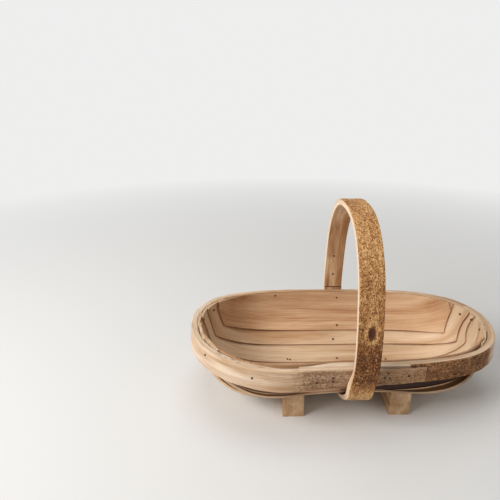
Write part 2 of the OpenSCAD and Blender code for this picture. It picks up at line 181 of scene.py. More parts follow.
def edge_dir(e, s):
    """Direction of a board's lower edge at s, -1 at its left end and 1 at its right end."""
    left = s < 0
    turn_k = np.where(left, e[1], e[4])
    lift_k = np.where(left, e[2], e[5])
    end = np.where(left, e[3], e[6])
    a = np.abs(s)
    u = np.minimum(1, a / CORNER)
    w = np.clip((a - CORNER) / (1 - CORNER), 0, 1)
    turn1 = np.degrees(np.arcsin(np.sin(np.radians(turn_k)) * u ** SPREAD))
    lift1 = e[0] + (lift_k - e[0]) * (turn1 / turn_k) ** 2
    turn = np.where(a <= CORNER, turn1, mix(turn_k, end, w ** BEND))
    lift = np.where(a <= CORNER, lift1, lift_k * (1 - w))
    c = ball(turn, lift)
    c[..., 0] *= np.where(left, -1, 1)
    return c


def hidden_dir(e, lap, s):
    """The upper edge of the next lower board, which reaches up behind edge e."""
    return unit(edge_dir(e, s) + np.array([0, lap, 0]))


def rim_dir(e, s):
    """The upper edge of the side board, along the rim."""
    end = np.where(s < 0, e[3], e[6]) + 2
    turn = np.arcsin(np.sin(np.radians(end)) * np.abs(s) ** (PLAN_X / 2))
    side = np.where(s < 0, -1, 1)
    return np.stack([np.sin(turn) * side, np.cos(turn), np.zeros_like(s)], -1)


def turn_at(x, lift):
    """Turn at which the hull reaches x at this lift."""
    power = (PLAN_X + PLAN_GAIN * np.sin(np.radians(lift)) ** 2) / 2
    return np.degrees(np.arcsin((np.abs(x) / (HALF_LEN - RIM_T)) ** power))


def near_turn(x):
    """Turn of the rim's plan curve at x, in degrees from its right end."""
    return np.degrees(np.arccos(signed_power(x / HALF_LEN, PLAN_X / 2)))


# Mesh building


def outward(verts, faces):
    """The faces of a closed mesh, turned round if they wrap it inside out."""
    volume = 0.0
    for size in {len(f) for f in faces}:
        p = verts[np.array([f for f in faces if len(f) == size])]
        for k in range(1, size - 1):
            volume += (p[:, 0] * np.cross(p[:, k], p[:, k + 1])).sum()
    return faces if volume > 0 else [f[::-1] for f in faces]


def add_object(name, data):
    """Put an object with this data in the scene."""
    obj = bpy.data.objects.new(name, data)
    scene.collection.objects.link(obj)
    return obj


def make_object(name, verts, faces, attrs, material, node, sharp=35.0):
    """Put a piece in the scene with its attributes, in place of the CAD node."""
    mesh = bpy.data.meshes.new(name)
    mesh.from_pydata((verts * MM).tolist(), [], outward(verts, faces))
    mesh.validate()
    for key, data in attrs.items():
        data = np.asarray(data, np.float32)
        kind, field = ("FLOAT_VECTOR", "vector") if data.ndim == 2 else ("FLOAT", "value")
        layer = mesh.attributes.new(key, kind, "POINT")
        layer.data.foreach_set(field, data.ravel())
    mesh.polygons.foreach_set("use_smooth", [True] * len(mesh.polygons))
    mesh.set_sharp_from_angle(angle=math.radians(sharp))
    mesh.materials.append(material)
    obj = add_object(name, mesh)
    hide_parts(node)
    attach(obj, "root")


def ring_faces(rings, count):
    """Quads round a row of closed rings, with a cap at both ends."""
    faces = []
    for i in range(rings - 1):
        for j in range(count):
            a, b = i * count + j, i * count + (j + 1) % count
            faces.append((a, b, b + count, a + count))
    faces.append(list(range(count))[::-1])
    faces.append([(rings - 1) * count + j for j in range(count)])
    return faces


class Strip:
    """A piece that runs along its section: points and attributes, gathered row by row."""

    def __init__(self):
        self.rows = {}

    def add(self, **values):
        """One row along the piece, at the next point of its section."""
        for key, value in values.items():
            self.rows.setdefault(key, []).append(value)

    def make(self, name, material, node):
        attrs = {}
        for key, rows in self.rows.items():
            data = np.stack(rows, 1)
            attrs[key] = data.reshape(-1, 3) if data.ndim == 3 else data.ravel()
        count = len(self.rows["place"])
        verts = attrs.pop("place")
        faces = ring_faces(len(verts) // count, count)
        make_object(name, verts, faces, attrs, material, node)


def section(width, thick, chamfer, n_wide, n_thin):
    """Rounded rectangle: rows of (across, depth, side) with depth 0 on the outer face.

    side is OUTER, TOP, INNER or BOTTOM, and ROUND on the rounded corners."""
    w, t, c = width, thick, chamfer
    rows = []
    wide = np.linspace(c, w - c, n_wide)
    thin = np.linspace(c, t - c, n_thin)

    def corner(cx, cy, start):
        for k in (1, 2):
            a = math.radians(start + 30 * k)
            rows.append((cx + c * math.cos(a), cy + c * math.sin(a), ROUND))

    rows += [(v, 0.0, OUTER) for v in wide]
    corner(w - c, c, -90)
    rows += [(w, v, TOP) for v in thin]
    corner(w - c, t - c, 0)
    rows += [(v, t, INNER) for v in wide[::-1]]
    corner(c, t - c, 90)
    rows += [(0.0, v, BOTTOM) for v in thin[::-1]]
    corner(c, c, 180)
    return np.array(rows)


# Materials


def srgb(r, g, b):
    """Linear colour from 0 to 255 sRGB values."""
    def lin(v):
        v /= 255.0
        return v / 12.92 if v <= 0.04045 else ((v + 0.055) / 1.055) ** 2.4
    return (lin(r), lin(g), lin(b), 1.0)


# the last is the colour of the painted shadow under the edge of a lapping board
STAIN, SPECK, LAP_SHADOW = srgb(150, 100, 62), srgb(74, 44, 26), srgb(128, 70, 36)
# both also colour the painted shade under the rim and on lapped margins
LINE_AND_PAINTED_SHADE, CRACK_AND_PAINTED_SHADE = srgb(84, 46, 26), srgb(40, 19, 10)
BARK = (srgb(228, 184, 127), srgb(169, 115, 65), srgb(90, 49, 21))
RIM_BARK = (srgb(184, 136, 90), srgb(130, 84, 48), srgb(64, 34, 16))


def add_node(tree, kind, inputs, **settings):
    """A shader node with these settings. Each input is linked to a socket or set."""
    node = tree.nodes.new("ShaderNode" + kind)
    for key, value in settings.items():
        setattr(node, key, value)
    for key, value in inputs.items():
        if isinstance(value, bpy.types.NodeSocket):
            tree.links.new(value, node.inputs[key])
        else:
            node.inputs[key].default_value = value
    return node


class Nodes:
    """The nodes of one material, with short calls that add more and give their output."""

    def __init__(self, name):
        self.mat = bpy.data.materials.new(name)
        self.mat.use_nodes = True
        self.tree = self.mat.node_tree
        self.tree.nodes.clear()

    def finish(self, **inputs):
        """The material, with a Principled surface that has these inputs."""
        inputs = {key.replace("_", " "): value for key, value in inputs.items()}
        surface = add_node(self.tree, "BsdfPrincipled", inputs)
        add_node(self.tree, "OutputMaterial", {"Surface": surface.outputs["BSDF"]})
        return self.mat

    def attr(self, name, field="Fac"):
        return add_node(self.tree, "Attribute", {}, attribute_name=name).outputs[field]

    def scaled(self, vector, scale):
        return add_node(self.tree, "VectorMath", {0: vector, 1: scale},
                        operation="MULTIPLY").outputs[0]

    def noise(self, vector, scale, detail=3.0, rough=0.55, distort=0.0):
        inputs = {"Vector": self.scaled(vector, scale), "Scale": 1.0, "Detail": detail,
                  "Roughness": rough, "Distortion": distort}
        return add_node(self.tree, "TexNoise", inputs).outputs["Fac"]

    def wave(self, vector, scale, distort, detail):
        inputs = {"Vector": self.scaled(vector, scale), "Scale": 1.0, "Distortion": distort,
                  "Detail": detail, "Detail Scale": 1.2}
        return add_node(self.tree, "TexWave", inputs, wave_type="BANDS", bands_direction="Y",
                        wave_profile="SAW").outputs["Fac"]

    def ramp(self, value, stops):
        n = add_node(self.tree, "ValToRGB", {"Fac": value})
        elements = n.color_ramp.elements
        while len(elements) < len(stops):
            elements.new(0.5)
        for element, (at, color) in zip(elements, stops):
            element.position = at
            element.color = color
        return n.outputs["Color"]

    def step(self, value, low, high):
        inputs = {"Value": value, "From Min": low, "From Max": high}
        return add_node(self.tree, "MapRange", inputs, clamp=True).outputs["Result"]

    def math(self, operation, *values):
        inputs = dict(enumerate(values))
        return add_node(self.tree, "Math", inputs, operation=operation).outputs[0]

    def blend(self, fac, a, b):
        inputs = {"Factor": fac, "A": a, "B": b}
        return add_node(self.tree, "Mix", inputs, data_type="RGBA").outputs["Result"]

    def bump(self, height, strength, distance):
        inputs = {"Height": height, "Strength": strength, "Distance": distance}
        return add_node(self.tree, "Bump", inputs).outputs["Normal"]

    def swing(self, value, amount, base):
        """base, and amount times how far the value lies from a half."""
        return self.math("MULTIPLY_ADD", self.math("SUBTRACT", value, 0.5), amount, base)


def bark_over(m, g, color, height, tones, specks):
    """Bark in three tones, with dark dots, where the bark attribute says so."""
    light, base, dark = tones
    worm = m.noise(g, (0.26, 0.38, 0.38), 3.0, 0.6, 1.6)
    flake = m.noise(g, (0.6, 0.78, 0.78), 2.0, 0.6, 0.6)
    wide = m.noise(g, (0.02, 0.06, 0.06), 3.0, 0.55)
    level = m.swing(wide, 0.30, m.swing(flake, 0.5, m.swing(worm, 1.35, 0.5)))
    level = m.math("ADD", level, m.attr("tone"))
    bark = m.ramp(level, [(0.26, dark), (0.48, base), (0.74, light)])
    dots = m.noise(g, (0.5, 0.62, 0.62), 1.0, 0.4)
    bark = m.blend(m.math("MULTIPLY", m.step(dots, 0.66, 0.73), specks), bark, SPECK)
    cover = m.step(m.swing(worm, 1.1, m.attr("bark")), 0.38, 0.62)
    lumps = m.math("ADD", m.math("MULTIPLY", worm, 4.2), m.math("MULTIPLY", flake, 1.0))
    return m.blend(cover, color, bark), m.math("ADD", height, m.math("MULTIPLY", cover, lumps))


def lap_edges(m, color, light):
    """A painted highlight along a board's own edge, and a painted shadow under the edge of the
    board above.
    """
    arris_highlight = m.math("SUBTRACT", 1.0, m.step(m.attr("edge"), 0.4, 1.3))
    color = m.blend(m.math("MULTIPLY", arris_highlight, 0.45), color, light)
    dark_lap_band = m.math("SUBTRACT", 1.0, m.step(m.attr("gap"), 1.7, 3.1))
    return m.blend(m.math("MULTIPLY", dark_lap_band, 0.9), color, LAP_SHADOW)


def wood(name, light, base, dark, figure, fine, rough, bark=None, specks=0.0, edges=False):
    """Wood along the grain attribute (mm), with bark where the bark attribute says so.

    light, base and dark are the tones of the clean wood. figure is how strongly the
    broad growth figure shows, fine is the same for the thin fibres. bark is three tones
    and specks the strength of its dark dots. edges is for boards that lap.
    The scales of the textures are features per mm: along the grain, across it, in depth."""
    m = Nodes(name)
    g = m.attr("grain", "Vector")
    broad = m.noise(g, (0.005, 0.06, 0.06), 3.0, 0.55, 0.5)
    rings = m.wave(g, (0.003, 0.15, 0.15), 6.0, 2.0)
    streak = m.noise(g, (0.014, 0.7, 0.7), 4.0, 0.6)
    hair = m.noise(g, (0.05, 2.6, 2.6), 2.0, 0.6)
    tone = m.swing(streak, fine, m.swing(rings, figure * 0.5, broad))
    tone = m.math("ADD", m.swing(hair, fine * 0.7, tone), m.attr("tone"))
    color = m.ramp(tone, [(0.22, dark), (0.5, base), (0.78, light)])
    # dark pores, short and along the grain
    pores = m.noise(g, (0.16, 1.9, 1.9), 2.0, 0.5)
    color = m.blend(m.math("MULTIPLY", m.step(pores, 0.64, 0.76), 0.4), color, dark)
    # blotchy stains where the stain attribute rises
    blot = m.noise(g, (0.02, 0.09, 0.09), 4.0, 0.6, 0.4)
    color = m.blend(m.math("MULTIPLY", m.attr("stain"), m.step(blot, 0.40, 0.66)), color, STAIN)
    height = m.math("ADD", m.math("MULTIPLY", streak, 0.6), m.math("MULTIPLY", hair, 0.4))
    if bark:
        color, height = bark_over(m, g, color, height, bark, specks)
    # painted highlight along the board edges, painted shadow under the board above
    if edges:
        color = lap_edges(m, color, light)
    # dark lines, knots and cracks drawn by the line attribute, and the painted shade under the rim
    # and on lapped margins
    line = m.swing(hair, 0.6, m.attr("line"))
    color = m.blend(m.step(line, 0.28, 0.72), color, LINE_AND_PAINTED_SHADE)
    color = m.blend(m.step(line, 0.95, 1.35), color, CRACK_AND_PAINTED_SHADE)
    return m.finish(Base_Color=color, Specular_IOR_Level=0.25,
                    Roughness=m.math("MULTIPLY_ADD", streak, 0.18, rough - 0.09),
                    Normal=m.bump(height, 0.6, 0.0006))


def tack_material():
    m = Nodes("tack_steel_dark")
    g = m.attr("grain", "Vector")
    rust = m.noise(g, (0.9, 0.9, 0.9), 4.0, 0.6)
    color = m.blend(m.step(rust, 0.45, 0.65), srgb(70, 58, 50), srgb(112, 72, 46))
    return m.finish(Base_Color=color, Metallic=0.7, Normal=m.bump(rust, 0.3, 0.0003),
                    Roughness=m.math("MULTIPLY_ADD", rust, 0.3, 0.38))


mat_hoop = wood("hoop_wood_bark", srgb(240, 220, 196), srgb(214, 178, 138), srgb(166, 122, 84),
                figure=0.3, fine=0.5, rough=0.68, bark=BARK, specks=0.8)
mat_rim = wood("rim_wood_split", srgb(238, 222, 204), srgb(220, 193, 164), srgb(176, 136, 98),
               figure=0.3, fine=0.5, rough=0.66, bark=RIM_BARK, specks=0.7)
mat_boards = {
    key: wood("board_wood_" + key, light, base, dark, figure, fine, rough=0.62, edges=True)
    for key, light, base, dark, figure, fine in (
        ("centre", srgb(234, 214, 188), srgb(218, 190, 158), srgb(182, 140, 100), 0.25, 0.36),
        ("inner", srgb(234, 212, 184), srgb(217, 188, 155), srgb(180, 138, 98), 0.22, 0.34),
        ("middle", srgb(232, 208, 178), srgb(214, 182, 148), srgb(176, 132, 92), 0.25, 0.38),
        ("side", srgb(230, 200, 166), srgb(206, 166, 128), srgb(168, 118, 78), 0.38, 0.46),
    )
}
mat_foot = wood("foot_wood_sawn", srgb(226, 196, 160), srgb(200, 164, 126), srgb(160, 120, 84),
                figure=0.5, fine=0.5, rough=0.7)
mat_tack = tack_material()


# Rim

# The rim is one strip. Its turn t, in degrees, runs from 360 and less at the outer end,
# right of the handle, round by the left end, the far side (180 to 0) and the right end,
# to its inner end left of the handle, below 0. So above 180 is the near outer strip, above
# 270 its part right of the middle, and below 0 the inner strip that it laps.
FAR_SIDE = (20, 150)                    # turns of the far side that has patches of bark
OUTER_END_X, INNER_END_X = 84.0, -66.0
OUTER_END_T, INNER_END_T = 2.2, 1.2     # thickness that the two ends feather out to
TAIL_TOP_CUT, TAIL_BOTTOM_CUT = 4.0, 3.0  # how far the outer end is cut down
# splits in the top of the near left side: x, half length, and depth from the outer face
RIM_SPLITS = ((-163, 9, 5.6), (-154, 7, 4.6), (-146, 8, 5.4), (-138, 8, 3.6), (-112, 12, 4.8),
              (-70, 10, 3.2))


def rim_parts(t):
    """The strip's x, its thickness and how far it lies inside the plan curve."""
    x = HALF_LEN * signed_power(np.cos(np.radians(t)), 2 / PLAN_X)
    outer_thick = mix(RIM_T, OUTER_END_T, ease(x, 6, OUTER_END_X))
    inner_thick = mix(INNER_END_T, RIM_T, ease(x, INNER_END_X, -14))
    thick = np.where(t > 180, outer_thick, np.where(t < 0, inner_thick, RIM_T))
    step = LAP_STEP * ease(x, -95, -20)
    inset = np.where(t > 180, step + RIM_T - thick, 0.0)
    inner = np.where(x < 0, RIM_T + GAP + step, near_press(x))
    return x, thick, np.where(t < 0, inner, inset)


def rim_point(t, out, inset, drop):
    """Point at turn t, out mm outside the strip's line and drop mm below its top edge."""
    n = np.radians(t)
    x = (HALF_LEN + out) * signed_power(np.cos(n), 2 / PLAN_X)
    y = (HALF_WID + out - inset) * signed_power(np.sin(n), 2 / PLAN_Y)
    return np.stack([x, y + BASKET_Y, rim_z(x) - drop], -1)


def even_turns(start, stop, count):
    """Turns at even steps of length along the strip, and the length up to each."""
    t = np.linspace(start, stop, 4001)
    x, _, inset = rim_parts(t)
    y = (HALF_WID - inset) * signed_power(np.sin(np.radians(t)), 2 / PLAN_Y)
    length = np.concatenate([[0], np.cumsum(np.hypot(np.diff(x), np.diff(y)))])
    run = np.linspace(0, length[-1], count)
    return np.interp(run, length, t), run


def on_far_side(t):
    return (t > FAR_SIDE[0]) & (t < FAR_SIDE[1])


def rim_bark(t, x, run, across):
    """Bark on the near right face, speckled skin left of the handle, clean at the left end."""
    right = (t < 0) * ease(x, 60, 70) * (1 - ease(x, 158, 186))
    left = (t > 180) * ease(x, -112, -50) * (1 - ease(x, -8, 6)) * 0.47
    tail_skin = (t > 270) * ease(x, 10, 24) * 0.42
    patches = 0.5 + 0.5 * noise(spread(run / 50, across / 40), 17)
    back = on_far_side(t) * 0.55 * patches
    return np.maximum.reduce([right, left, tail_skin, back])


def rim_tone(t, x, run, across, depth, side, tail):
    """Lighter and darker places of the rim. tail is 1 on its outer end."""
    shade = 0.05 * noise(spread(run / 45, across / 9, depth), 31)
    if side == OUTER:
        shade += 0.04 * ease(-x, 60, 190)
        shade -= 0.13 * (t > 180) * ease(x, -110, -55)
        shade -= 0.24 * (t > 180) * ease(x, -5, 30)
    if side in (TOP, ROUND):
        shade += 0.05 - 0.16 * on_far_side(t)
        shade -= 0.14 * (t > 180) * ease(x, -80, -30) + 0.14 * tail
    return shade


def rim_lines(t, x, across, depth, side, tail):
    """Splits on the top, the top of the outer end darker, and a dark band along the top of the
    inner strip's outer face right of the handle.
    """
    dark = np.zeros(len(t))
    if side == TOP:
        for split_x, half, split_depth in RIM_SPLITS:
            there = (t > 180) * np.exp(-((x - split_x) / half) ** 2 * 2)
            dark = np.maximum(dark, there * 0.46 * (abs(depth - split_depth) < 1.5))
        dark = np.maximum(dark, 0.42 * tail)
    if side == OUTER:
        dark_lap_band = (t < 0) * ease(x, 10, 24) * (1 - ease(x, 70, 84)) * (across > RIM_H - 5.5)
        dark = np.maximum(dark, 0.5 * dark_lap_band)
    return dark


def build_rim():
    t, run = even_turns(360 - near_turn(OUTER_END_X), -near_turn(INNER_END_X), 720)
    x, thick, inset = rim_parts(t)
    tail = np.where(t > 270, ease(x, 16, 37), 0.0)
    lean = np.where((t > 180) | (t < 0), near_lean(x), FLARE)
    sway = noise(spread(run / 60), 3)
    # the section is drawn at full thickness and squeezed where the strip feathers
    squeeze = thick / RIM_T
    strip = Strip()
    for across, depth, side in section(RIM_H, RIM_T, 1.5, 15, 5):
        drop = mix(RIM_H - TAIL_BOTTOM_CUT * tail, TAIL_TOP_CUT * tail, across / RIM_H)
        if side in (TOP, ROUND):
            drop = drop + 0.5 * sway
        if side in (TOP, BOTTOM, ROUND):
            drop = drop + 0.35 * noise(spread(run / 9, side), 8)
        rough = np.where(t < 0, 0.42, 0.22) * (1.0 if side == OUTER else 0.5)
        relief = fibre(run, across, depth, 21 + int(side), 34.0, 2.2)
        out = lean * (drop / RIM_H) - depth * squeeze
        out = out + rough * relief * (-1 if side == INNER else 1) * squeeze
        point = rim_point(t, out, inset, drop)
        if side == TOP:
            point[:, 2] += 0.22 * fibre(run, depth, 0.0, 29, 20.0, 1.4)
        barked = side == OUTER or (side == ROUND and depth < 3)
        strip.add(place=point,
                  grain=spread(run, across + (60 if side == INNER else 0), depth * 1.3),
                  bark=rim_bark(t, x, run, across) if barked else 0 * run,
                  tone=rim_tone(t, x, run, across, depth, side, tail),
                  stain=0 * run + (0.35 if side == OUTER else 0.18),
                  line=rim_lines(t, x, across, depth, side, tail))
    strip.make("rim_strip", mat_rim, "rim")


# Boards

FAR_OFF = 9.0                           # mm, written where no edge is near


def nearest(points, line, block=2000):
    """Index of the nearest point of a line for each of the points."""
    out = np.empty(len(points), int)
    for k in range(0, len(points), block):
        d = ((points[k:k + block, None] - line[None]) ** 2).sum(-1)
        out[k:k + block] = d.argmin(1)
    return out


def plank_frame(points, low, high):
    """Straight plank coordinates (along, across) of the points, in mm.

    The plank's middle line is smoothed, so its grain runs on where its edges bend."""
    mid = unit(mix(low, high, 0.5))
    middle, over = hull_point(mid, 0.0), hull_point(mid, 1.0)
    reach = 40
    kernel = np.exp(-np.linspace(-2, 2, 2 * reach + 1) ** 2)
    kernel /= kernel.sum()
    ends = np.vstack([2 * middle[0] - middle[reach:0:-1], middle,
                      2 * middle[-1] - middle[-2:-reach - 2:-1]])
    line = np.stack([np.convolve(ends[:, k], kernel, "valid") for k in range(3)], -1)
    way = unit(np.gradient(line, axis=0))
    side = unit(np.cross(over - middle, way))
    run = run_along(line)
    run -= run[-1] / 2
    k = nearest(points, line)
    off = points - line[k]
    return run[k] + (off * way[k]).sum(-1), (off * side[k]).sum(-1)


def edge_gap(points, edge, near):
    """Distance in mm from each point to a board edge that lies over it."""
    s = np.linspace(-1, 1, 601)
    line = hull_point(edge_dir(edge, s) * [1, -1 if near else 1, 1], -2 * BOARD_T - GAP)
    return np.sqrt(((points - line[nearest(points, line)]) ** 2).sum(-1))


def board_section():
    """Rows of (across, depth, side) round a board, across and depth from 0 to 1."""
    across = np.concatenate([[0, 0.012, 0.035], np.linspace(0.07, 0.93, 27), [0.965, 0.988, 1]])
    depths = (0.08, 0.35, 0.65, 0.92)
    rows = [(v, 0.0, OUTER) for v in across] + [(1.0, d, TOP) for d in depths]
    rows += [(v, 1.0, INNER) for v in across[::-1]]
    return rows + [(0.0, d, BOTTOM) for d in depths[::-1]]


def stand_off(s, near):
    """How far a board's upper edge stands off behind the board above it."""
    most = np.where(s < 0, NEAR_LEFT_LIFT, NEAR_RIGHT_LIFT) if near else FAR_LIFT
    return most * np.sin(np.pi * np.clip((np.abs(s) - 0.2) / 0.7, 0, 1)) ** 1.5


def under_rim_shade(x, at, own, width):
    """Painted shade on the outside of the near side board under the rim, 0 to 1."""
    dark = ease(x, -10, 40) * (1 - ease(x, 140, 178))
    dark = np.maximum(dark, 0.4 * (1 - ease(x, -70, -50)) * ease(x, -178, -140))
    return dark * ((at == OUTER) | (at == BOTTOM)) * (own < 0.93 * width)


def lapped_margin_shade(x, at, own, gap, columns, near):
    """Painted shade on the margin that the board above laps over, seen only from outside, 0 to 1.
    """
    # a point is in it when it lies further up than the one nearest to that board's edge
    edge_at = np.where(at == INNER, gap, 99.0).reshape(columns, -1).argmin(1)
    own_rows = own.reshape(columns, -1)
    past = own > own_rows[np.arange(columns), edge_at].repeat(own_rows.shape[1])
    # the painted shade is strongest on the near side, right of the middle
    shade = mix(0.5, 1.0, ease(x, -10, 40)) if near else 0.4
    return past * (at == INNER) * ease(gap, 0.2, 1.4) * shade


def board_looks(key, near, x, at, own, width, gap, tone, columns):
    """Tone and line of a board's points, by their side and their place, with painted light and
    shade.
    """
    line = np.where((at == TOP) | (at == BOTTOM), 0.36, 0.0)
    # painted light and shade: the inner faces lighter towards the right end, darker towards the
    # left end
    tone = tone + (at == INNER) * (0.07 * ease(x, 20, 180) - 0.05 * ease(-x, 60, 180))
    if near and key == "side":
        # painted shade under the rim, darker in tone and drawn with the dark line colours
        dark = under_rim_shade(x, at, own, width)
        tone, line = tone - 0.4 * dark, np.maximum(line, 1.3 * dark)
    if key in ("inner", "middle"):
        # painted shade on the lapped margin, darker in tone and drawn with the line colour
        dark = lapped_margin_shade(x, at, own, gap, columns, near)
        tone, line = tone - 0.5 * dark, np.maximum(line, 0.44 * dark)
        # painted highlight: their upper edges are pale
        tone, line = np.where(at == TOP, tone + 0.12, tone), np.where(at == TOP, 0.1, line)
    return tone, line


def build_board(name, node, key, low, high, near, seed, end_deep=False, low_deep=True,
                covers=()):
    """A board between the edges low(s) and high(s), mirrored to the near side if near.

    end_deep puts its ends, and low_deep its lower edge, one layer further in, over the
    next board. covers are the edges of the boards that lap over it, as (edge, near)."""
    columns = 221
    s = np.linspace(-1, 1, columns) * (SIDE_REACH if end_deep else 1.0)
    mirror = [1, -1 if near else 1, 1]
    low, high = low(s) * mirror, high(s) * mirror
    deep_end = ease(np.abs(s), CORNER, 0.9) if end_deep else 0 * s
    stand = stand_off(s, near) if key in ("inner", "middle") else 0 * s
    run = run_along(hull_point(unit(mix(low, high, 0.5)), 0.0))
    run -= run[-1] / 2
    width = np.linalg.norm(hull_point(low, 0.0) - hull_point(high, 0.0), axis=1)
    wavy = 0.004 * noise(spread(run / 38, 0.0, seed), seed)
    keep = ease(1 - np.abs(s), 0, 0.012)   # 0 at the very ends, where nothing is wavy
    layer = BOARD_T + GAP
    rows = board_section()
    verts, tone = [], []
    for v, d, side in rows:
        way = v + wavy * (1 - v) * keep
        slope = np.clip(way / 0.86, 0, 1)
        deep = layer * ((1 - slope) * low_deep + deep_end * slope)
        out = stand * np.clip(v, 0, 1) ** 3 - deep - d * BOARD_T
        round_off = 0.25 if (v in (0.0, 1.0) and d in (0.0, 1.0)) else 0.0
        out = out + (round_off if d == 1.0 else -round_off)
        across = v * width
        relief = 0.09 * fibre(run, across, d * 9, 41 + seed, 60.0, 1.8)
        swell = 0.14 * noise(spread(run / 70, across / 22), 61 + seed)
        out = out + (relief + swell) * keep
        verts.append(hull_point(unit(mix(low, high, np.clip(way, 0, 1)[:, None])), out))
        shade = 0.04 * noise(spread(run / 120, across / 14), 71 + seed)
        tone.append(shade - (0.10 if side in (TOP, BOTTOM) else 0.0))
    verts = np.stack(verts, 1).reshape(-1, 3)
    tone = np.stack(tone, 1).ravel()
    across, depth, at = (np.tile(column, columns) for column in np.array(rows).T)
    width = width.repeat(len(rows))
    own = across * width
    gap = np.full(len(verts), FAR_OFF)
    if covers:
        gaps = [edge_gap(verts, edge, near_edge) for edge, near_edge in covers]
        gap = np.where(at == INNER, np.minimum.reduce(gaps), FAR_OFF)
    tone, line = board_looks(key, near, verts[:, 0], at, own, width, gap, tone, columns)
    along, over = plank_frame(verts, low, high)
    grain = spread(along + 137.0 * seed, over + 23.0 * seed + 60 * (at == INNER),
                   depth * BOARD_T)
    attrs = {"grain": grain, "tone": tone, "line": line, "gap": gap,
             "stain": np.where((at == TOP) | (at == BOTTOM), 0.32, 0.12),
             "edge": own if low_deep else FAR_OFF + 0 * own}
    make_object(name, verts, ring_faces(columns, len(rows)), attrs, mat_boards[key], node, 40.0)


def build_boards():
    build_board("board_centre", "centre_board", "centre",
                lambda s: hidden_dir(CENTRE_EDGE, CENTRE_LAP, s) * [1, -1, 1],
                lambda s: hidden_dir(CENTRE_EDGE, CENTRE_LAP, s), False, 1, low_deep=False,
                covers=((CENTRE_EDGE, False), (CENTRE_EDGE, True)))
    for near, tag, seed in ((False, "far", 2), (True, "near", 6)):
        build_board("board_inner_" + tag, tag + "_inner_board", "inner",
                    lambda s: edge_dir(CENTRE_EDGE, s),
                    lambda s: hidden_dir(MIDDLE_EDGE, MIDDLE_LAP, s), near, seed,
                    covers=((MIDDLE_EDGE, near),))
        build_board("board_middle_" + tag, tag + "_middle_board", "middle",
                    lambda s: edge_dir(MIDDLE_EDGE, s),
                    lambda s: hidden_dir(SIDE_EDGE, SIDE_LAP, s), near, seed + 1,
                    covers=((SIDE_EDGE, near),))
        build_board("board_side_" + tag, tag + "_side_board", "side",
                    lambda s: edge_dir(SIDE_EDGE, s), lambda s: rim_dir(SIDE_EDGE, s),
                    near, seed + 2, end_deep=True)


# Hoop


def arch_point(t, d):
    """Y and Z of the bow at angle t, from 0 far to 180 near, d mm in from its outer face."""
    squash = (1 - (abs(ARCH_Z - RIM_TOP) / (HOOP_TOP - ARCH_Z)) ** ARCH_POW) ** (1 / ARCH_POW)
    n = np.radians(t)
    return np.stack([(HOOP_HALF / squash - d) * signed_power(np.cos(n), 2 / ARCH_POW),
                     ARCH_Z + (HOOP_TOP - ARCH_Z - d) * signed_power(np.sin(n), 2 / ARCH_POW)], -1)


def resample(line, count):
    """Evenly spaced points on a line, and their distance along it."""
    run = run_along(line)
    at = np.linspace(0, run[-1], count)
    return np.stack([np.interp(at, run, values) for values in line.T], -1), at


def under_hoop(lift, side):
    """Y and Z under the hull where the strap runs, side 1 far and -1 near."""
    c = ball(turn_at(HOOP_X, lift), lift) * [1, side, 1]
    p = hull_point(c, GAP)
    return p[..., 1:]


def strap_path(side):
    """The strap's inner face from the rim's top down to the middle of the keel."""
    leave = under_hoop(50.0, side)
    way = unit(under_hoop(48.0, side) - leave)
    y0 = side * (HOOP_HALF - HOOP_T)
    knee = np.array([y0 + side * ((FLARE if side > 0 else -1.6) + GAP), RIM_TOP - RIM_H])
    a, b, c, d = knee, knee - [1.5 * side, 0.19 * DEPTH], leave + way * 0.22 * DEPTH, leave
    upper = [mix(np.array([y0, RIM_TOP]), knee, w) for w in np.linspace(0, 1, 9)[:-1]]
    curve = [a * (1 - w) ** 3 + 3 * b * (1 - w) ** 2 * w + 3 * c * (1 - w) * w * w + d * w ** 3
             for w in np.linspace(0, 1, 24)]
    under = [under_hoop(mix(50.0, 90.0, w), side) for w in np.linspace(0, 1, 15)[1:]]
    return np.array(upper + curve + under)


def knot_marks(across, run, knots):
    """Push, darkness and pale halo that the knots (across, along, size) give to the bark."""
    push, dark, halo = np.zeros_like(run), np.zeros_like(run), np.zeros_like(run)
    for knot_across, knot_run, size in knots:
        away = np.hypot(across - knot_across, (run - knot_run) / 1.9)
        dome = np.exp(-(away / size) ** 2)
        push += 0.5 * np.exp(-((away - size) / (0.7 * size)) ** 2) - 1.3 * dome
        dark = np.maximum(dark, 1.3 * dome * (1 - 0.75 * np.exp(-(away / 1.1) ** 2)))
        streak = np.exp(-((across - knot_across) / 1.1) ** 2
                        - ((run - knot_run + 9) / 7.0) ** 2)
        dark = np.maximum(dark, 0.85 * streak * (size > 2))
        halo = np.maximum(halo, np.exp(-((away - 1.5 * size) / (0.5 * size)) ** 2))
    return push, dark, halo


def hoop_tone(across, depth, side, run, y, z, seed, halo, far_leg):
    """Lighter and darker places of the hoop."""
    shade = 0.05 * noise(spread(run / 40, across / 8, depth), seed + 21)
    if side in (OUTER, ROUND):
        worn = ease(z, 52, 84)
        shade = shade - 0.20 * ease(-y, 80, 105) * ease(-z, -180, -95) * worn
        shade = shade + 0.05 * ease(z, 190, 250) + 0.14 * (1 - worn) + 0.16 * halo
    if side == INNER:
        shade = shade - 0.10 * far_leg - 0.16 * far_leg * ease(across, 14, 24)
    return shade + (0.16 if side in (TOP, BOTTOM) else -0.02 if side == INNER else 0.0)


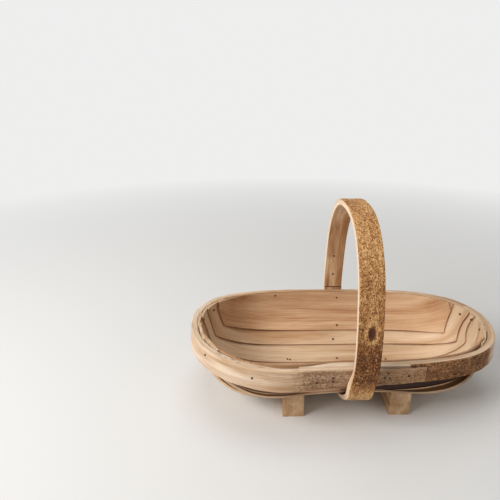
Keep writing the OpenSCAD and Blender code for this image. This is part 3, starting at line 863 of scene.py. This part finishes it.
def build_hoop_piece(name, node, inner_line, outer_line, seed, bark_at, knots, count):
    """A bent strip between an inner and an outer Y-Z line, both from far to near.

    bark_at gives the bark along it, 0 to 1. knots are (across, along, size)."""
    inner, _ = resample(inner_line, count)
    outer, run = resample(outer_line, count)
    left, right = HOOP_X - HOOP_W / 2, HOOP_X + HOOP_W / 2
    normal = unit(outer - inner)
    sway = 0.45 * noise(spread(run / 55), seed)
    strip = Strip()
    for across, depth, side in section(HOOP_W, HOOP_T, 1.3, 17, 5):
        w = depth / HOOP_T
        relief = fibre(run, across, depth, seed + 3 + int(side), 26.0, 2.0)
        lump = noise(spread(run / 5.5, across / 3.4, depth), seed + 9)
        rough, lumpy = (0.26, 0.16) if side == OUTER else (0.1, 0.04)
        push = (relief * rough + lump * lumpy) * (-1 if side == INNER else 1)
        knot, halo = 0 * run, 0 * run
        if side == OUTER:
            knot_push, knot, halo = knot_marks(across, run, knots)
            push = push + knot_push
        y, z = (mix(outer, inner, w) + normal * push[:, None]).T
        low = np.clip((RIM_TOP - z) / RIM_H, 0, 1) if node == "strap" else 0 * run
        x = left + across + sway - STRAP_SKEW * low
        # the left side of the near leg is cut on a slant and shows its pale wood
        x = x - (STRAP_SLANT * w * (1 - across / HOOP_W)
                 * ease(low, 0, 0.8) * ease(-y, 30, 70))
        if side in (TOP, BOTTOM):
            edge_relief = 0.2 * fibre(run, depth, 0.0, seed + 15, 22.0, 1.5)
            x = x + (1 if side == TOP else -1) * edge_relief
        barked = side == OUTER or (side == ROUND and depth < 3)
        # the far leg is stained inside, with a dark line at its scarf
        far_leg = ease(y, 60, 90) * (side == INNER)
        if side == INNER:
            knot = np.maximum(knot, 0.8 * (y > 0) * (run < 0.9))
        strip.add(place=spread(np.clip(x, left - 0.6 - 6 * low, right + 0.6), y, z),
                  grain=spread(run + 300.0 * seed, across + (45 if side == INNER else 0), depth),
                  bark=bark_at(run / run[-1]) if barked else 0 * run,
                  tone=hoop_tone(across, depth, side, run, y, z, seed, halo, far_leg),
                  stain=0.12 + (0.38 + 0.4 * far_leg) * (side == INNER), line=knot)
    strip.make(name, mat_hoop, node)


def scarf(cut, drop):
    """Outer and inner point of one end of a scarf on the far leg, drop mm lower."""
    outer, inner = cut
    return ([HOOP_HALF, RIM_TOP + outer - drop], [HOOP_HALF - HOOP_T, RIM_TOP + inner - drop])


def build_hoop():
    """The bow and the strap, which meet in slanting scarfs just above the rim."""
    mirror = np.array([-1, 1])
    bow_count, strap_count = 460, 420
    t = np.linspace(0, 180, 241)
    (far_outer, far_inner), (near_outer, near_inner) = scarf(FAR_SCARF, 0), scarf(NEAR_SCARF, 0)
    outer = np.vstack([far_outer, arch_point(t, 0.0), near_outer * mirror])
    inner = np.vstack([far_inner, arch_point(t, HOOP_T), near_inner * mirror])
    _, run = resample(outer, bow_count)
    knot_run = float(run[-1] - 48.5)
    build_hoop_piece("hoop_bow", "bow", inner, outer, 1, lambda u: 0.95 + 0 * u,
                     ((14.9, knot_run, 4.2), (17.5, knot_run - 62, 1.0)), bow_count)
    (far_outer, far_inner), (near_outer, near_inner) = scarf(FAR_SCARF, GAP), scarf(NEAR_SCARF, GAP)
    far, near = strap_path(1), strap_path(-1)
    inner = np.vstack([far_inner, far, near[::-1][1:], near_inner * mirror])
    tangent = np.gradient(inner, axis=0)
    tangent[0], tangent[-1] = (0, -1), (0, 1)
    tangent = unit(tangent)
    normal = np.stack([-tangent[:, 1], tangent[:, 0]], -1)
    low = np.clip((RIM_TOP - inner[:, 1]) / RIM_H, 0, 1)
    outer = inner + (HOOP_T - (HOOP_T - STRAP_T) * low)[:, None] * normal
    outer[0], outer[-1] = far_outer, near_outer * mirror
    build_hoop_piece("hoop_strap", "strap", inner, outer, 2,
                     lambda u: np.where(u > 0.7, 0.95, 0.4), (), strap_count)


# Feet


def under_bowl(at_x, y):
    """Height of the bowl's underside at x = at_x, for each y."""
    lifts = np.linspace(30, 150, 241)
    side = np.where(lifts <= 90, 1, -1)
    lift = np.where(lifts <= 90, lifts, 180 - lifts)
    mirror = spread(np.sign(at_x), side, 1.0)
    profile = hull_point(ball(turn_at(at_x, lift), lift) * mirror, GAP)[:, 1:]
    profile = profile[np.argsort(profile[:, 0])]
    return np.interp(y, profile[:, 0], profile[:, 1])


def build_foot(name, node, at_x, seed):
    """A sawn block across the basket at x = at_x, its top cut to the bowl.

    Its section is drawn flat: OUTER is the sole and INNER the top."""
    y = np.linspace(-FOOT_L / 2, FOOT_L / 2, 150) + BASKET_Y
    top = under_bowl(at_x, y) - GAP
    strip = Strip()
    for across, height, side in section(FOOT_W, FOOT_W, 0.9, 15, 11):
        z = height / FOOT_W * top
        saw = 0.10 * noise(spread(y / 1.6, across / 9, z / 9), seed)
        sway = 0.25 * noise(spread(y / 25, across / 12, z / 12), seed + 4)
        x = at_x - FOOT_W / 2 + across + ((side == TOP) - float(side == BOTTOM)) * (saw + sway)
        strip.add(place=spread(x, y, np.maximum(z + saw * 0.4 * (side == INNER), 0.0)),
                  grain=spread(y + 50 * seed, across, z), stain=0 * y + 0.25, line=0 * y,
                  tone=0.05 * noise(spread(y / 30, across / 8, z / 8), seed + 8))
    strip.make(name, mat_foot, node)


# Tacks


# outline of a tack's head, as radius and height over the wood, from its crown inwards
TACK_HEAD = ((0.0, -0.55), (0.7, -0.5), (1.25, -0.3), (1.6, 0.02), (1.62, 0.25), (1.3, 0.42),
             (0.65, 0.5))
SHANK_R, TACK_LEAN, TACK_SIDES = 0.6, 0.05, 18


def tack_mesh(places):
    """Domed heads on thin shanks, each a little askew. places are (point, way, length)."""
    verts, faces, grain = [], [], []
    for k, (p, way, long) in enumerate(places):
        z = unit(unit(np.asarray(way, float)) + dice.normal(0, TACK_LEAN, 3))
        x = unit(np.cross(z, [0.3, 0.2, 1.0]))
        y = np.cross(z, x)
        rows = TACK_HEAD + ((SHANK_R + 0.02, 0.6), (SHANK_R, long * 0.8), (0.1 * SHANK_R, long))
        start = len(verts)
        for r, h in rows:
            for j in range(TACK_SIDES):
                a = 2 * math.pi * j / TACK_SIDES
                uneven = r * (1 + 0.05 * math.sin(3 * a + k) * (r > 1))
                verts.append(p + x * uneven * math.cos(a) + y * uneven * math.sin(a) + z * h)
                grain.append((r * math.cos(a) + 7 * k, r * math.sin(a), h))
        for face in ring_faces(len(rows), TACK_SIDES):
            faces.append([start + corner for corner in face])
    return np.array(verts), faces, np.array(grain)


def board_tack(x, lift, side, long):
    """A tack from inside the bowl at x and this lift, side 1 far and -1 near."""
    c = ball(turn_at(x, lift), lift) * [np.sign(x), side, 1]
    p, q = hull_point(c, -2 * BOARD_T - GAP), hull_point(c, 1.0)
    return p, q - p, long


def side_tack(x, drop, side):
    """A tack through a side board into the rim, drop mm below its top."""
    c = ball(turn_at(x, 0.0), 0.0) * [np.sign(x), side, 1]
    p = hull_point(c, -BOARD_T) - [0, 0, drop]
    return p, (0, side, 0), BOARD_T + 0.7 * RIM_T


def end_tack(turn, lift, side):
    """A tack through the board ends into the rim, turn below 0 at the left end."""
    c = ball(abs(turn), lift) * [np.sign(turn), side, 1]
    p = hull_point(c, -2 * BOARD_T - GAP)
    return p, (np.sign(turn), 2 * c[1], 0), 2 * BOARD_T + 0.7 * RIM_T


def lap_tack(x, drop, tail):
    """A tack in the near rim from outside, through its outer strip if tail."""
    t = 360 - near_turn(x) if tail else -near_turn(x)
    _, _, inset = rim_parts(t)
    return rim_point(t, near_lean(x) * drop / RIM_H, inset, drop), (0, 1, 0), 1.6 * RIM_T


def leg_tack(across, y, z, way, long):
    """A tack in a leg of the hoop, across mm right of its middle."""
    return np.array([HOOP_X + across, y, z]), (0, way, 0), long


def build_tacks():
    """The heads of all tacks, one piece for each of the CAD's groups."""
    high, low = arch_point(13.5, HOOP_T), arch_point(2.6, HOOP_T)
    in_leg, in_rim = 0.7 * HOOP_T, HOOP_T + 0.6 * RIM_T
    in_strap, in_foot = 2 * BOARD_T + 2, 2 * BOARD_T + 7
    groups = {
        "far_side_tacks": [side_tack(x, drop, 1) for x, drop in (
            (-151, 5.3), (-84.4, 4.8), (14.6, 9.7), (164.5, 10))],
        "near_side_tacks": [side_tack(x, drop, -1) for x, drop in (
            (-150, 8), (14.6, 10), (120, 9))],
        "rim_lap_tacks": [lap_tack(x, drop, x < 100) for x, drop in (
            (-174.9, 8), (-118.6, 12.5), (-45.6, 15.1), (-27, 10.2), (-27, 14.8), (37.1, 6.4),
            (33.4, 12.3), (39.6, 13.7), (62.9, 13.1), (144.1, 11.8), (152.7, 14.1))],
        "left_end_tacks": [end_tack(*place) for place in (
            (-62.9, 3.6, 1), (-82.5, 8.6, 1), (-82.5, 8.6, -1), (-64, 4, -1))],
        "right_end_tacks": [end_tack(*place) for place in (
            (71.3, 7.2, 1), (84.5, 14, 1), (80, 8, -1), (66, 5, -1))],
        "far_leg_tacks": [leg_tack(-1.5, *high, 1, in_leg), leg_tack(-1, *low, 1, in_leg),
                          leg_tack(5, HOOP_HALF, RIM_TOP - 4, -1, in_rim),
                          leg_tack(-6, HOOP_HALF + 0.15, RIM_TOP - 14, -1, in_rim)],
        # across, above the rim's top, and how far the leg leans in there
        "near_leg_tacks": [leg_tack(across, lean - HOOP_HALF, RIM_TOP + up, 1,
                                    HOOP_T - 2 if up > 10 else in_rim)
                           for across, up, lean in (
            (-5.1, 21.9, 0), (1.7, 20.5, 0), (10.6, 20.3, 0), (-6.3, -2, 0.26),
            (4.8, -0.4, 0.06), (-8.5, -9.5, 1.16), (1.7, -9, 1.09))],
        "strap_tacks": [board_tack(*place) for place in (
            (14.6, 32.2, 1, in_strap), (5.5, 50.7, 1, HOOP_T), (5.5, 75.7, 1, HOOP_T),
            (8, 75.7, -1, HOOP_T), (12, 51, -1, HOOP_T), (14, 33, -1, in_strap))],
        "left_foot_tacks": [board_tack(x - FOOT_X, lift, side, in_foot) for x, lift, side in (
            (2, 76.9, 1), (-2, 76.2, 1), (1, 77, -1), (-1, 52, -1))],
        "right_foot_tacks": [board_tack(x + FOOT_X, lift, side, in_foot) for x, lift, side in (
            (11.1, 78.1, 1), (-2, 77, -1), (2, 52, -1))],
    }
    for node, places in groups.items():
        verts, faces, grain = tack_mesh(places)
        make_object(node + "_heads", verts, faces, {"grain": grain}, mat_tack, node, 50.0)


# Stage, light and camera

# The stage is in metres.
PALE = (0.86, 0.86, 0.855, 1)
FLOOR_HALF, FLOOR_FADE = 6.0, (0.35, 1.5)  # half its side, and where it turns into PALE
# the camera that was fitted to the photo, which is 500 x 500 pixels
PHOTO_PX, FOCAL_PX, CENTRE_PX = 500.0, 419.588, (264.649, 252.323)
SENSOR = 36.0                           # millimetres
CAMERA_AT = (-0.11819, -0.49696, 0.3886)
YAW, PITCH, ROLL = (math.radians(v) for v in (1.768, 21.187, 0.277))


def build_floor():
    """A pale floor that runs into the background far away."""
    mesh = bpy.data.meshes.new("studio_floor")
    corners = [(x * FLOOR_HALF, y * FLOOR_HALF, 0) for x, y in ((-1, -1), (1, -1), (1, 1), (-1, 1))]
    mesh.from_pydata(corners, [], [(0, 1, 2, 3)])
    paint = Nodes("studio_floor_paint")
    matt = add_node(paint.tree, "BsdfPrincipled", {"Base Color": (0.74, 0.74, 0.735, 1),
                                                   "Roughness": 0.9, "Specular IOR Level": 0.1})
    far_glow = add_node(paint.tree, "Emission", {"Color": PALE, "Strength": 1.0})
    place = add_node(paint.tree, "TexCoord", {}).outputs["Object"]
    away = add_node(paint.tree, "VectorMath", {0: place}, operation="LENGTH").outputs["Value"]
    fade = add_node(paint.tree, "MixShader", {0: paint.step(away, *FLOOR_FADE),
                                              1: matt.outputs[0], 2: far_glow.outputs[0]})
    add_node(paint.tree, "OutputMaterial", {"Surface": fade.outputs[0]})
    mesh.materials.append(paint.mat)
    floor = add_object("studio_floor", mesh)


def build_world():
    """A dim world that lights the trug, and looks pale to the camera."""
    scene.world = bpy.data.worlds.new("studio_world")
    scene.world.use_nodes = True
    tree = scene.world.node_tree
    tree.nodes.clear()
    light = add_node(tree, "Background", {"Color": (1.0, 0.985, 0.96, 1), "Strength": 0.33})
    seen = add_node(tree, "Background", {"Color": PALE, "Strength": 1.0})
    path = add_node(tree, "LightPath", {})
    choice = add_node(tree, "MixShader", {0: path.outputs["Is Camera Ray"],
                                          1: light.outputs[0], 2: seen.outputs[0]})
    add_node(tree, "OutputWorld", {"Surface": choice.outputs[0]})


def build_lamp(name, at, look, size, power, color):
    data = bpy.data.lights.new(name, "AREA")
    data.shape = "DISK"
    data.size = size
    data.energy = power
    data.color = color
    lamp = add_object(name, data)
    lamp.location = at
    lamp.rotation_euler = (Vector(look) - Vector(at)).to_track_quat("-Z", "Y").to_euler()


def build_camera():
    data = bpy.data.cameras.new("photo_camera")
    data.sensor_width = SENSOR
    data.lens = SENSOR * FOCAL_PX / PHOTO_PX
    data.shift_x = (PHOTO_PX / 2 - CENTRE_PX[0]) / PHOTO_PX
    data.shift_y = (CENTRE_PX[1] - PHOTO_PX / 2) / PHOTO_PX
    data.clip_start = 0.01
    ahead = Vector((math.sin(YAW) * math.cos(PITCH), math.cos(YAW) * math.cos(PITCH),
                    -math.sin(PITCH)))
    right = Vector((math.cos(YAW), -math.sin(YAW), 0.0))
    up = right.cross(ahead)
    x = right * math.cos(ROLL) + up * math.sin(ROLL)
    y = -right * math.sin(ROLL) + up * math.cos(ROLL)
    camera = add_object("photo_camera", data)
    turn = Matrix((x, y, -ahead)).transposed().to_4x4()
    camera.matrix_world = Matrix.Translation(CAMERA_AT) @ turn
    scene.camera = camera


# The making, in order

build_rim()
build_boards()
build_hoop()
build_foot("foot_block_left", "left_foot", -FOOT_X, 5)
build_foot("foot_block_right", "right_foot", FOOT_X, 6)
build_tacks()
build_floor()
build_world()
build_lamp("key_softbox", (-1.35, -0.62, 1.15), (0, 0, 0.1), 0.9, 27, (1.0, 0.985, 0.96))
build_lamp("fill_softbox", (1.4, -1.2, 0.9), (0, 0, 0.08), 1.4, 2, (1.0, 0.98, 0.96))
build_lamp("top_softbox", (-0.1, 0.3, 1.8), (0, 0, 0.05), 1.2, 7, (1.0, 0.99, 0.97))
build_camera()
scene.view_settings.view_transform = "Standard"
